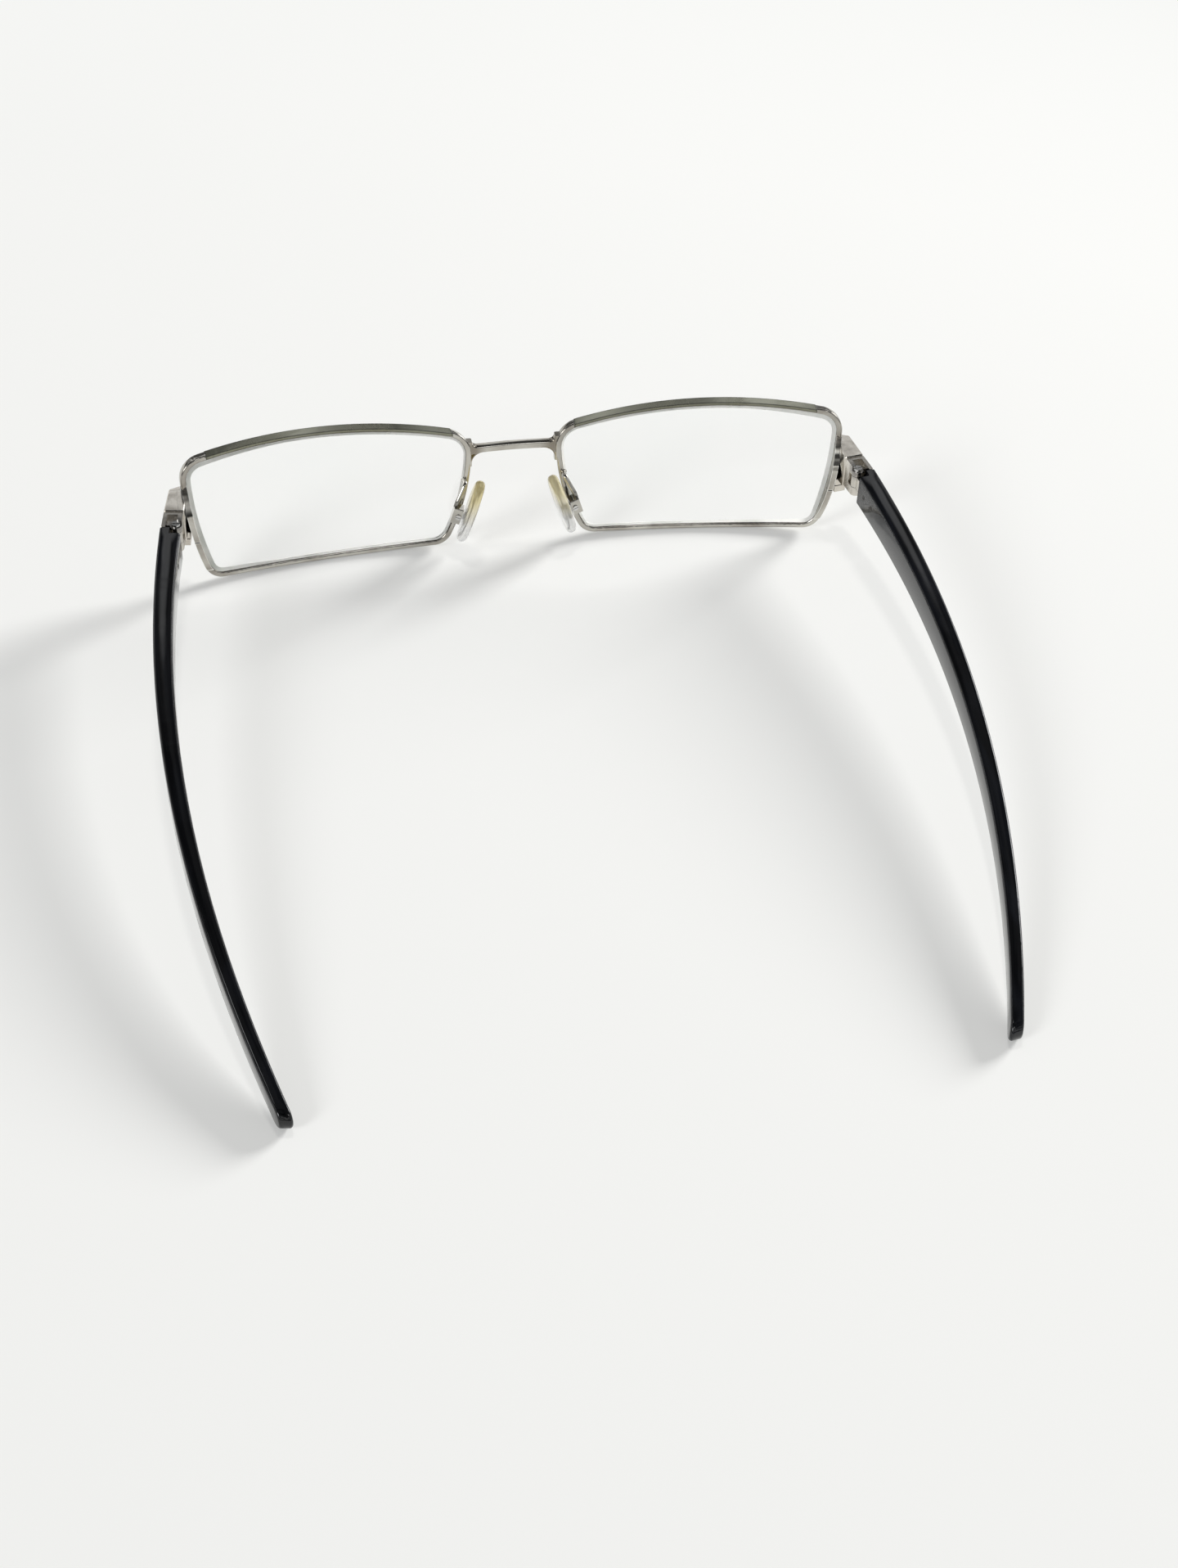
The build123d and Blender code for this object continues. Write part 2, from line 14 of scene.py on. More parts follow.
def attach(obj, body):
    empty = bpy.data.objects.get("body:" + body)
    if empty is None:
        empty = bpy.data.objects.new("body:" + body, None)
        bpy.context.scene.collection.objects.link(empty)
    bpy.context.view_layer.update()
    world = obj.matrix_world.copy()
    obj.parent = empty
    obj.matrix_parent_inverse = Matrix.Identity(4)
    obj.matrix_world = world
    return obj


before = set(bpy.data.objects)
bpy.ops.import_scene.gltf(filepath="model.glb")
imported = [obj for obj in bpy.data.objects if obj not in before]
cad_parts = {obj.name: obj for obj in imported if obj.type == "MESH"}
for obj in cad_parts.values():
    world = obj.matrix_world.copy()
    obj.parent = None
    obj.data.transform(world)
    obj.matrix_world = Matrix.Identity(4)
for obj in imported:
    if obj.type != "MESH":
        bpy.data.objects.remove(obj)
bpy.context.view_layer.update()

logging.basicConfig(level=logging.INFO, format="%(levelname)s %(message)s")
LOG = logging.getLogger("eyeglasses")

# One millimetre in metres, and the distance within which doubled corners of a node are one.
MM = 0.001
WELD_GAP = 0.001 * MM
WHITE = (1.0, 1.0, 1.0)

Colour = tuple[float, float, float]
Place = tuple[float, float, float]
Span = tuple[float, float]
Socket = bpy.types.NodeSocket
Node = bpy.types.Node
Material = bpy.types.Material
Piece = bpy.types.Object


class Side(Enum):
    """The wearer's two sides; the value is the sign of X."""

    LEFT = 1
    RIGHT = -1

    @property
    def prefix(self) -> str:
        """Return the start of this side's node names."""
        return self.name.lower() + "_"

    def mirrored(self, place: Place) -> Vector:
        """Move a place on the wearer's left to this side.

        Args:
            place: the place on the left side, in millimetres.

        Returns:
            The same place on this side, in millimetres.
        """
        x, y, z = place
        return Vector((self.value * x, y, z))


class Plating(Enum):
    """Metal finishes on the frame: base colour, roughness at rest and roughness where rubbed."""

    GUNMETAL = ((0.57, 0.55, 0.50), 0.04, 0.12)
    BROW = ((0.31, 0.31, 0.24), 0.18, 0.30)
    NICKEL = ((0.80, 0.76, 0.69), 0.13, 0.26)
    SCREW = ((0.74, 0.74, 0.73), 0.12, 0.24)
    BLACKED = ((0.035, 0.035, 0.038), 0.22, 0.36)

    @property
    def base(self) -> Colour:
        """Return the base colour."""
        return self.value[0]

    @property
    def roughness(self) -> Span:
        """Return the roughness range."""
        return self.value[1], self.value[2]


class Effect(Enum):
    """The surface effects that several finishes share."""

    FINE_SCRATCHES = "fine scratches"
    # The edge mask serves edge rubbing, and also painted highlights on the rims and painted shade on
    # the brow bars.
    EDGE_WEAR = "edge wear"


@dataclass(frozen=True)
class Spot:
    """A darkened place on each side (tarnish at the solder joints, painted shade at the pad boxes):
    its middle on the left side and its reach, in millimetres.
    """

    middle: Place
    reach: float


class Graph:
    """A small wrapper that adds and joins nodes in one node tree."""

    def __init__(self, tree: bpy.types.NodeTree) -> None:
        """Keep the tree.

        Args:
            tree: the material's, world's or group's node tree.
        """
        self.tree = tree

    @classmethod
    def emptied(cls, owner: bpy.types.ID) -> "Graph":
        """Clear the node tree of a material or world.

        Args:
            owner: the material or world.

        Returns:
            A graph on its empty tree.
        """
        owner.use_nodes = True
        owner.node_tree.nodes.clear()
        return cls(owner.node_tree)

    def feed(self, node: Node, inputs: dict[object, object]) -> None:
        """Set the inputs of a node.

        Args:
            node: the node.
            inputs: socket name or number to a value, or to another node's output socket.
        """
        for name, value in inputs.items():
            if isinstance(value, Socket):
                self.tree.links.new(value, node.inputs[name])
            else:
                node.inputs[name].default_value = value

    def add(self, kind: str, inputs: Optional[dict[object, object]] = None,
            **settings: object) -> Node:
        """Add a node and set its properties and inputs.

        Args:
            kind: the node's type name.
            inputs: socket name or number to a value, or to another node's output socket.
            settings: properties of the node.

        Returns:
            The new node.
        """
        node = self.tree.nodes.new(kind)
        for name, value in settings.items():
            setattr(node, name, value)
        self.feed(node, inputs or {})
        return node

    def object_place(self) -> Socket:
        """Return a socket with the Object coordinates."""
        return self.add("ShaderNodeTexCoord").outputs["Object"]

    def noise(self, place: Socket, scale: object, detail: float, **inputs: float) -> Socket:
        """Add a Noise Texture node.

        Args:
            place: the coordinates.
            scale: number or socket.
            detail: the number of octaves.
            inputs: its other inputs.

        Returns:
            The value socket.
        """
        node = self.add("ShaderNodeTexNoise",
                        {"Vector": place, "Scale": scale, "Detail": detail, **inputs})
        return node.outputs[0]

    def math(self, operation: str, first: object, second: object = 0.0,
             clamp: bool = False) -> Socket:
        """Add a Math node.

        Args:
            operation: the node's operation.
            first: number or socket.
            second: number or socket.
            clamp: whether the result is clamped to 0..1.

        Returns:
            The result socket.
        """
        node = self.add("ShaderNodeMath", {0: first, 1: second}, operation=operation,
                        use_clamp=clamp)
        return node.outputs[0]

    def ramp(self, value: Socket, low: float, high: float, out_low: float = 0.0,
             out_high: float = 1.0) -> Socket:
        """Map a value from one range to another, clamped.

        Args:
            value: the input socket.
            low: input at which the output is out_low.
            high: input at which the output is out_high.
            out_low: first output.
            out_high: last output.

        Returns:
            The result socket.
        """
        node = self.add("ShaderNodeMapRange",
                        {0: value, 1: low, 2: high, 3: out_low, 4: out_high})
        return node.outputs[0]

    def mix(self, share: object, first: object, second: object) -> Socket:
        """Mix two colours.

        Args:
            share: 0 for the first, 1 for the second; number or socket.
            first: colour or socket.
            second: colour or socket.

        Returns:
            The colour socket.
        """
        ends = [end if isinstance(end, Socket) else (*end, 1.0) for end in (first, second)]
        node = self.add("ShaderNodeMix", {0: share, 6: ends[0], 7: ends[1]}, data_type="RGBA")
        return node.outputs[2]


@dataclass(frozen=True)
class GroupMaker:
    """Builds the shader node groups of the shared effects.

    A pair named shown gives the noise or bend at which a mask is 0 and at which it is 1.
    """

    strands: tuple[tuple[float, Place], ...] = ((0.4, (1.0, 0.06, 1.0)), (2.1, (0.08, 1.0, 0.7)))
    strand_shown: Span = (0.60, 0.72)
    smudge_scale: float = 140.0
    smudge_shown: Span = (0.42, 0.66)
    blotch_scale: float = 45.0
    blotch_shown: Span = (0.35, 0.65)
    bevel_samples: int = 6
    edge_shown: Span = (0.985, 0.80)
    chip_scale: float = 700.0
    chip_shown: Span = (0.35, 0.6)

    def start(self, effect: Effect, inputs: dict[str, float],
              outputs: Sequence[str]) -> tuple[Graph, Node]:
        """Make a group with its sockets, which all carry a number.

        Args:
            effect: what the group does.
            inputs: name and default of each input.
            outputs: name of each output.

        Returns:
            A graph on the group, and the node of its inputs.
        """
        tree = bpy.data.node_groups.new("Shared " + effect.value, "ShaderNodeTree")
        for label, default in inputs.items():
            socket = tree.interface.new_socket(name=label, in_out="INPUT",
                                               socket_type="NodeSocketFloat")
            socket.default_value = default
        for label in outputs:
            tree.interface.new_socket(name=label, in_out="OUTPUT", socket_type="NodeSocketFloat")
        g = Graph(tree)
        return g, g.add("NodeGroupInput")

    def fine_scratches(self) -> bpy.types.NodeTree:
        """Build hairline scratches, soft smudges and wide blotches.

        Returns:
            A group that puts out a scratch height, a smudge mask and a blotch mask.
        """
        g, source = self.start(Effect.FINE_SCRATCHES, {"Scale": 900.0, "Amount": 0.5},
                               ("Height", "Smudge", "Blotch"))
        place = g.object_place()
        strands = []
        for turn, stretch in self.strands:
            turned = g.add("ShaderNodeMapping", {"Vector": place, "Scale": stretch,
                                                 "Rotation": (turn, turn / 2, turn)})
            noise = g.noise(turned.outputs[0], source.outputs["Scale"], 3.0, Roughness=0.6)
            strands.append(g.ramp(noise, *self.strand_shown))
        lines = g.math("MAXIMUM", strands[0], strands[1])
        smudge = g.noise(place, self.smudge_scale, 4.0, Distortion=0.6)
        blotch = g.noise(place, self.blotch_scale, 2.0)
        g.add("NodeGroupOutput", {
            "Height": g.math("MULTIPLY", lines, source.outputs["Amount"]),
            "Smudge": g.ramp(smudge, *self.smudge_shown),
            "Blotch": g.ramp(blotch, *self.blotch_shown),
        })
        return g.tree

    def edge_wear(self) -> bpy.types.NodeTree:
        """Build a mask of the edges, for edge rubbing and for painted edge highlights and shade.

        Returns:
            A group that puts out 1 on edges and 0 on flats, broken up by noise.
        """
        g, source = self.start(Effect.EDGE_WEAR, {"Radius": 0.15 * MM, "Broken": 0.5}, ("Mask",))
        rounded = g.add("ShaderNodeBevel", {"Radius": source.outputs["Radius"]},
                        samples=self.bevel_samples)
        flat = g.add("ShaderNodeNewGeometry").outputs["Normal"]
        bend = g.add("ShaderNodeVectorMath", {0: rounded.outputs[0], 1: flat},
                     operation="DOT_PRODUCT")
        edge = g.ramp(bend.outputs["Value"], *self.edge_shown)
        chips = g.ramp(g.noise(g.object_place(), self.chip_scale, 3.0), *self.chip_shown)
        broken = g.math("MULTIPLY", chips, source.outputs["Broken"])
        kept = g.math("SUBTRACT", 1.0, broken, clamp=True)
        g.add("NodeGroupOutput", {"Mask": g.math("MULTIPLY", edge, kept, clamp=True)})
        return g.tree


class SharedGroups:
    """Makes each shared group once."""

    _made: dict[Effect, bpy.types.NodeTree] = {}

    @classmethod
    def get(cls, effect: Effect) -> bpy.types.NodeTree:
        """Return a group, and build it the first time.

        Args:
            effect: what the group does.

        Returns:
            The node group.
        """
        if effect not in cls._made:
            maker = GroupMaker()
            builders = {Effect.FINE_SCRATCHES: maker.fine_scratches,
                        Effect.EDGE_WEAR: maker.edge_wear}
            cls._made[effect] = builders[effect]()
        return cls._made[effect]


class Surface:
    """A material in the making, with the steps that the finishes share."""

    def __init__(self, name: str) -> None:
        """Make the material with only its Principled shader and output.

        Args:
            name: the material's name.
        """
        self.material = bpy.data.materials.new(name)
        self.graph = Graph.emptied(self.material)
        self.shader = self.graph.add("ShaderNodeBsdfPrincipled")
        self.graph.add("ShaderNodeOutputMaterial", {"Surface": self.shader.outputs[0]})

    def marks(self, scale: float, amount: float) -> Node:
        """Place the shared scratches, smudges and blotches.

        Args:
            scale: how fine the scratches are.
            amount: how strong the scratches are.

        Returns:
            The group's node.
        """
        return self.graph.add("ShaderNodeGroup", {"Scale": scale, "Amount": amount},
                              node_tree=SharedGroups.get(Effect.FINE_SCRATCHES))

    def wear_and_light_edges(self, radius: float = 0.15 * MM) -> Socket:
        """Place the shared edge mask, for edge rubbing and for painted edge highlights and shade.

        Args:
            radius: how far from an edge the mask reaches, in metres.

        Returns:
            The mask socket.
        """
        node = self.graph.add("ShaderNodeGroup", {"Radius": radius},
                              node_tree=SharedGroups.get(Effect.EDGE_WEAR))
        return node.outputs["Mask"]

    def roughness(self, marks: Node, span: Span, scratched: float = 0.0) -> Socket:
        """Let smudges and scratches raise the roughness.

        Args:
            marks: the node of the shared marks.
            span: roughness where clean and where smudged.
            scratched: what a scratch adds.

        Returns:
            The roughness socket.
        """
        rough = self.graph.ramp(marks.outputs["Smudge"], 0.0, 1.0, *span)
        if scratched:
            added = self.graph.math("MULTIPLY", marks.outputs["Height"], scratched)
            rough = self.graph.math("ADD", rough, added)
        return rough

    def finish(self, colour: Socket, rough: Socket, constants: dict[str, float],
               height: Optional[Socket] = None, bump: Span = (0.0, 0.0)) -> Material:
        """Feed the shader.

        Args:
            colour: the base colour.
            rough: the roughness.
            constants: values that are the same all over, set on the shader's own sockets.
            height: what the bump follows, where there is one.
            bump: strength and depth of the bump, the depth in metres.

        Returns:
            The material.
        """
        self.graph.feed(self.shader, {"Base Color": colour, "Roughness": rough, **constants})
        if height is not None:
            relief = self.graph.add("ShaderNodeBump", {"Height": height, "Strength": bump[0],
                                                       "Distance": bump[1]})
            self.graph.feed(self.shader, {"Normal": relief.outputs[0]})
        return self.material


@dataclass(frozen=True)
class MetalFinish:
    """Plated or polished metal with hairlines, smudges, coloured edges and darkened spots; the edges
    are rubbing on most finishes, a painted highlight on the rims and painted shade on the brow bars,
    and the spots are tarnish at solder joints, painted shade at the pad boxes and a darkening round
    the hinge screws.
    """

    name: str
    plating: Plating
    edge_wear_and_light_colour: Colour = (0.72, 0.71, 0.68)
    stain_and_shade: Colour = (0.20, 0.17, 0.13)
    stain_and_shade_amount: float = 0.25
    wear: float = 0.6
    edge_radius: float = 0.15 * MM
    spot: Optional[Spot] = None
    spot_core: float = 0.35
    spot_amount: float = 0.75
    blotch_shade: float = 0.80
    scratches: Span = (1100.0, 0.6)
    scratched: float = 0.12
    bump: Span = (0.10, 0.02 * MM)

    def spot_tarnish_and_shade(self, g: Graph, colour: Socket, spot: Spot) -> Socket:
        """Darken the metal round a spot on both sides.

        Args:
            g: the material's graph.
            colour: the colour so far.
            spot: the left side's spot.

        Returns:
            The new colour.
        """
        reach = spot.reach * MM
        for side in Side:
            middle = tuple(side.mirrored(spot.middle) * MM)
            away = g.add("ShaderNodeVectorMath", {0: g.object_place(), 1: middle},
                         operation="DISTANCE")
            near = g.ramp(away.outputs["Value"], reach, reach * self.spot_core)
            colour = g.mix(g.math("MULTIPLY", near, self.spot_amount), colour, self.stain_and_shade)
        return colour

    def build(self) -> Material:
        """Build the material.

        Returns:
            The material.
        """
        face = Surface(self.name)
        g = face.graph
        marks = face.marks(*self.scratches)
        base = self.plating.base
        dull = tuple(channel * self.blotch_shade for channel in base)
        colour = g.mix(marks.outputs["Blotch"], dull, base)
        # Smudges of the dirt colour; on the rims, at half strength, they also stand in as painted
        # dark reflection.
        smudged = g.math("MULTIPLY", marks.outputs["Smudge"], self.stain_and_shade_amount)
        colour = g.mix(smudged, colour, self.stain_and_shade)
        # Darkened spots: tarnish at solder joints, painted shade at the pad boxes.
        if self.spot:
            colour = self.spot_tarnish_and_shade(g, colour, self.spot)
        # Edge colour: rubbing on most finishes, a painted highlight on the rims, painted shade lines
        # on the brow bars.
        worn = g.math("MULTIPLY", face.wear_and_light_edges(self.edge_radius), self.wear)
        colour = g.mix(worn, colour, self.edge_wear_and_light_colour)
        rough = face.roughness(marks, self.plating.roughness, self.scratched)
        return face.finish(colour, rough, {"Metallic": 1.0}, marks.outputs["Height"], self.bump)


@dataclass(frozen=True)
class AcetateFinish:
    """Polished black acetate with faint flow streaks, edges lightened by rubbing and hairlines from
    wiping.
    """

    name: str = "Black acetate"
    base: Colour = (0.0030, 0.0032, 0.0038)
    streak: Colour = (0.008, 0.009, 0.012)
    streak_scale: Place = (260.0, 22.0, 260.0)
    streak_shown: Span = (0.45, 0.75)
    worn: Colour = (0.05, 0.05, 0.055)
    wear: float = 0.25
    roughness: Span = (0.05, 0.13)
    scratches: Span = (520.0, 0.5)
    scratched: float = 0.10
    bump: Span = (0.08, 0.02 * MM)
    refraction: float = 1.48
    coat: Span = (0.1, 0.05)

    def build(self) -> Material:
        """Build the material.

        Returns:
            The material.
        """
        face = Surface(self.name)
        g = face.graph
        marks = face.marks(*self.scratches)
        flow = g.add("ShaderNodeMapping", {"Vector": g.object_place(),
                                           "Scale": self.streak_scale})
        streaks = g.noise(flow.outputs[0], 1.0, 3.0, Distortion=0.4)
        colour = g.mix(g.ramp(streaks, *self.streak_shown), self.base, self.streak)
        edges = g.math("MULTIPLY", face.wear_and_light_edges(), self.wear)
        colour = g.mix(edges, colour, self.worn)
        rough = face.roughness(marks, self.roughness, self.scratched)
        constants = {"IOR": self.refraction, "Coat Weight": self.coat[0],
                     "Coat Roughness": self.coat[1]}
        return face.finish(colour, rough, constants, marks.outputs["Height"], self.bump)


@dataclass(frozen=True)
class SiliconeFinish:
    """Clear nose-pad silicone, yellowed towards its top and slightly greasy."""

    name: str = "Clear silicone"
    clear: Colour = (0.97, 0.97, 0.96)
    aged: Colour = (1.00, 0.87, 0.45)
    aged_from: float = 7.5
    aged_to: float = 13.5
    patchiness: Span = (0.7, 1.0)
    roughness: Span = (0.06, 0.18)
    scratches: Span = (300.0, 0.4)
    bump: Span = (0.04, 0.03 * MM)
    refraction: float = 1.41
    transmission: float = 0.70

    def build(self) -> Material:
        """Build the material.

        Returns:
            The material.
        """
        face = Surface(self.name)
        g = face.graph
        split = g.add("ShaderNodeSeparateXYZ", {0: g.object_place()})
        height = g.ramp(split.outputs["Z"], self.aged_from * MM, self.aged_to * MM)
        marks = face.marks(*self.scratches)
        patchy = g.ramp(marks.outputs["Blotch"], 0.0, 1.0, *self.patchiness)
        colour = g.mix(g.math("MULTIPLY", height, patchy), self.clear, self.aged)
        rough = face.roughness(marks, self.roughness)
        constants = {"IOR": self.refraction, "Transmission Weight": self.transmission}
        return face.finish(colour, rough, constants, marks.outputs["Smudge"], self.bump)


@dataclass(frozen=True)
class LensFinish:
    """Clear demonstration lens with a few wiping marks."""

    name: str = "Clear lens"
    tint: Colour = (0.985, 0.992, 0.99)
    roughness: Span = (0.0, 0.02)
    scratches: Span = (260.0, 0.4)
    bump: Span = (0.02, 0.01 * MM)
    refraction: float = 1.49

    def build(self) -> Material:
        """Build the material.

        Returns:
            The material.
        """
        face = Surface(self.name)
        marks = face.marks(*self.scratches)
        rough = face.roughness(marks, self.roughness)
        colour = face.graph.mix(marks.outputs["Blotch"], self.tint, WHITE)
        constants = {"IOR": self.refraction, "Transmission Weight": 1.0}
        return face.finish(colour, rough, constants, marks.outputs["Height"], self.bump)


@dataclass(frozen=True)
class FrostedEdgeAndSheenFinish:
    """Frosted white edge of a lens, as the grinding wheel leaves it; its white is also a painted
    reflection of the pale room along the rims.
    """

    name: str = "Ground lens edge"
    base: Colour = (0.93, 0.93, 0.91)
    streak: Colour = (0.80, 0.81, 0.78)
    roughness: Span = (0.45, 0.65)
    scratches: Span = (1600.0, 0.8)

    def build(self) -> Material:
        """Build the material.

        Returns:
            The material.
        """
        face = Surface(self.name)
        g = face.graph
        marks = face.marks(*self.scratches)
        colour = g.mix(marks.outputs["Smudge"], self.base, self.streak)
        rough = g.ramp(marks.outputs["Height"], 0.0, 1.0, *self.roughness)
        return face.finish(colour, rough, {})


@dataclass(frozen=True)
class TableFinish:
    """Plain near-white table that keeps the object's shadow.

    Seen directly, in glass or in a reflection, it is a mix of a plain tone and the lit surface,
    and further out, past the shadows, the plain tone alone.
    """

    name: str = "Pale table"
    shown: Colour = (0.920, 0.925, 0.908)
    lit: Colour = (0.815, 0.820, 0.812)
    shadow_share: float = 0.66
    even_from: float = 0.12
    even_to: float = 0.42
    cloud_scale: float = 5.0
    cloud_shown: Span = (0.3, 0.7)
    cloud_shade: float = 0.985

    def build(self) -> Material:
        """Build the material.

        Returns:
            The material.
        """
        material = bpy.data.materials.new(self.name)
        g = Graph.emptied(material)
        place = g.object_place()
        cloud = g.ramp(g.noise(place, self.cloud_scale, 2.0), *self.cloud_shown)
        tone = g.mix(cloud, self.shown, tuple(channel * self.cloud_shade for channel in self.shown))
        glow = g.add("ShaderNodeEmission", {"Color": tone, "Strength": 1.0})
        dull = g.add("ShaderNodeBsdfDiffuse", {"Color": (*self.lit, 1.0)})
        path = g.add("ShaderNodeLightPath")
        mirrored = g.math("MAXIMUM", path.outputs["Is Glossy Ray"],
                          path.outputs["Is Transmission Ray"])
        seen = g.math("MAXIMUM", path.outputs["Is Camera Ray"], mirrored)
        first = g.math("LESS_THAN", path.outputs["Diffuse Depth"], 0.5)
        seen = g.math("MULTIPLY", seen, first)
        away = g.add("ShaderNodeVectorMath", {0: place}, operation="LENGTH").outputs["Value"]
        far = g.ramp(away, self.even_from, self.even_to)
        share = g.math("MULTIPLY", seen, g.math("MAXIMUM", far, 1.0 - self.shadow_share))
        both = g.add("ShaderNodeMixShader", {0: share, 1: dull.outputs[0], 2: glow.outputs[0]})
        g.add("ShaderNodeOutputMaterial", {"Surface": both.outputs[0]})
        return material


def finish_mesh(bm: bmesh.types.BMesh, name: str, material: Material, body: str,
                smooth_below: float = 35.0) -> Piece:
    """Turn a bmesh into a piece of the object that rides on a body.

    Args:
        bm: the shape, in metres in the row frame; it is freed.
        name: the piece's name.
        material: its finish.
        body: the CAD body that carries it.
        smooth_below: edges flatter than this many degrees are shaded smooth.

    Returns:
        The new object.
    """
    bmesh.ops.recalc_face_normals(bm, faces=bm.faces)
    for face in bm.faces:
        face.smooth = True
    limit = math.radians(smooth_below)
    for edge in bm.edges:
        edge.smooth = len(edge.link_faces) == 2 and edge.calc_face_angle(0.0) < limit
    mesh = bpy.data.meshes.new(name)
    bm.to_mesh(mesh)
    bm.free()
    piece = bpy.data.objects.new(name, mesh)
    bpy.context.scene.collection.objects.link(piece)
    mesh.materials.append(material)
    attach(piece, body)
    return piece


def dress_node(node: str, material: Material, split_angle: float = 32.0) -> Piece:
    """Give a CAD node its finish and smooth shading; its mesh stays as packed.

    Args:
        node: the node's name.
        material: its finish.
        split_angle: edges sharper than this many degrees stay crisp.

    Returns:
        The node's object.
    """
    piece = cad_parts[node]
    piece.data.materials.clear()
    piece.data.materials.append(material)
    for polygon in piece.data.polygons:
        polygon.use_smooth = True
    weld = piece.modifiers.new("Weld", "WELD")
    weld.merge_threshold = WELD_GAP
    split = piece.modifiers.new("Crisp edges", "EDGE_SPLIT")
    split.split_angle = math.radians(split_angle)
    return piece


@dataclass
class SubAssembly:
    """What every group of pieces shares: the list of what it made or dressed."""

    pieces: list[Piece] = field(default_factory=list)

    def dress(self, nodes: Sequence[str], material: Material, split_angle: float = 32.0) -> None:
        """Give several CAD nodes one finish.

        Args:
            nodes: the nodes' names.
            material: their finish.
            split_angle: edges sharper than this many degrees stay crisp.
        """
        self.pieces += [dress_node(node, material, split_angle) for node in nodes]

    def dress_both(self, parts: Sequence[str], material: Material,
                   split_angle: float = 32.0) -> None:
        """Give the same parts of both sides one finish.

        Args:
            parts: the nodes' names without their side.
            material: their finish.
            split_angle: edges sharper than this many degrees stay crisp.
        """
        for side in Side:
            self.dress([side.prefix + part for part in parts], material, split_angle)

    def report(self) -> None:
        """Log each piece of this group."""
        for piece in self.pieces:
            LOG.info("%s: %s", type(self).__name__, piece.name)


@dataclass
class FrontFrame(SubAssembly):
    """Rims, brow bars and bridge, with tarnish where they were soldered, painted highlights along
    the rim edges, painted dark reflection in the rim smudges and painted shade lines along the brow
    bar edges.
    """

    bridge_spot: Spot = Spot((8.4, -72.4, 20.4), 3.2)
    rim_spot: Spot = Spot((64.0, -67.0, 20.0), 2.8)

    def build(self) -> None:
        """Dress the rims, the brow bars and the bridge."""
        # Rims: a near-white painted highlight along the edges, and the dirt colour smudged in at
        # half strength as dirt and painted dark reflection.
        rim_metal = MetalFinish("Gunmetal plating", Plating.GUNMETAL, edge_wear_and_light_colour=(0.93, 0.92, 0.88),
                                stain_and_shade=(0.17, 0.14, 0.11), stain_and_shade_amount=0.5, wear=1.6,
                                edge_radius=0.30 * MM, spot=self.rim_spot)
        # Brow bars: near-black painted shade lines along the edges of the olive lacquer.
        brow_metal = MetalFinish("Brow lacquer", Plating.BROW, edge_wear_and_light_colour=(0.030, 0.030, 0.026),
                                 stain_and_shade=(0.26, 0.25, 0.16), wear=2.2, edge_radius=0.50 * MM)
        bridge_metal = MetalFinish("Bridge plating", Plating.GUNMETAL, spot=self.bridge_spot)
        self.dress_both(("rim",), rim_metal.build())
        self.dress_both(("brow_bar",), brow_metal.build())
        self.dress(("bridge",), bridge_metal.build())


@dataclass(frozen=True)
class LensPlace:
    """Where the wearer's left lens sits, in millimetres and degrees; the right one mirrors it."""

    middle: Place = (36.8, -71.808, 13.671)
    wrap: float = 6.0
    tilt: float = 9.4
    radius: float = 130.0
    thickness: float = 1.6

    def ahead(self, side: Side) -> Vector:
        """Return the direction that the lens faces.

        Args:
            side: which lens.

        Returns:
            A unit vector.
        """
        wrap, tilt = math.radians(self.wrap), math.radians(self.tilt)
        return Vector((side.value * math.sin(wrap) * math.cos(tilt),
                       -math.cos(wrap) * math.cos(tilt), -math.sin(tilt)))

    def centre(self, side: Side) -> Vector:
        """Return the centre of the lens curve, in metres.

        Args:
            side: which lens.

        Returns:
            The centre of its sphere.
        """
        return (side.mirrored(self.middle) - self.ahead(side) * self.radius) * MM


